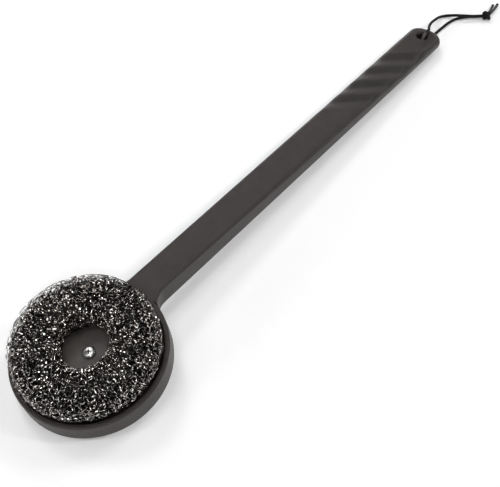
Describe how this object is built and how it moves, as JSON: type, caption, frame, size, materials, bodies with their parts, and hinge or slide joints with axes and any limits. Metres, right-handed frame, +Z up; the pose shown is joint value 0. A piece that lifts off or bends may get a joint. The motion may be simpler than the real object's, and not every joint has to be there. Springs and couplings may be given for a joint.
{
  "type": "grill brush",
  "caption": "Long-handled grill brush with a ring of knitted wire clamped in a round head, and a looped hanging cord at the end of the handle.",
  "frame": {"origin": "on the surface that the brush lies on, under the middle of the moulding's length", "axes": "+X along the brush from its head to the handle's end, +Z up, with the pad on the upper side; the brush rests on the far edge of its head and, through its cord, on the handle's end"},
  "size_m": [0.5454, 0.1, 0.0493],
  "materials": {
    "handle_and_head": "fine moulded grain, satin",
    "threaded_insert": "machined",
    "scourer": "knitted flat wire, bright and crinkled",
    "retaining_disc": "satin",
    "screw": "bright zinc plated",
    "cord_upper_leg": "waxed, tightly laid",
    "cord_lower_leg": "waxed, tightly laid",
    "cord_knot": "waxed, tightly laid"
  },
  "bodies": {
    "brush": {"handle_and_head": "handle_and_head", "threaded_insert": "threaded_insert", "cord_upper_leg": "cord_upper_leg", "cord_lower_leg": "cord_lower_leg", "cord_knot": "cord_knot"},
    "scourer_pack": {"scourer": "scourer", "retaining_disc": "retaining_disc"},
    "clamp_screw": {"screw": "screw"}
  },
  "joints": [
    {"name": "pack_lift", "type": "slide", "parent": "brush", "child": "scourer_pack", "axis": [-0.2065, 0, 0.9784], "range_m": [0, 0.04]},
    {"name": "screw_turn", "type": "hinge", "parent": "scourer_pack", "child": "clamp_screw", "pos_m": [-0.18416, 0, 0.02451], "axis": [-0.2065, 0, 0.9784], "continuous": true}
  ]
}
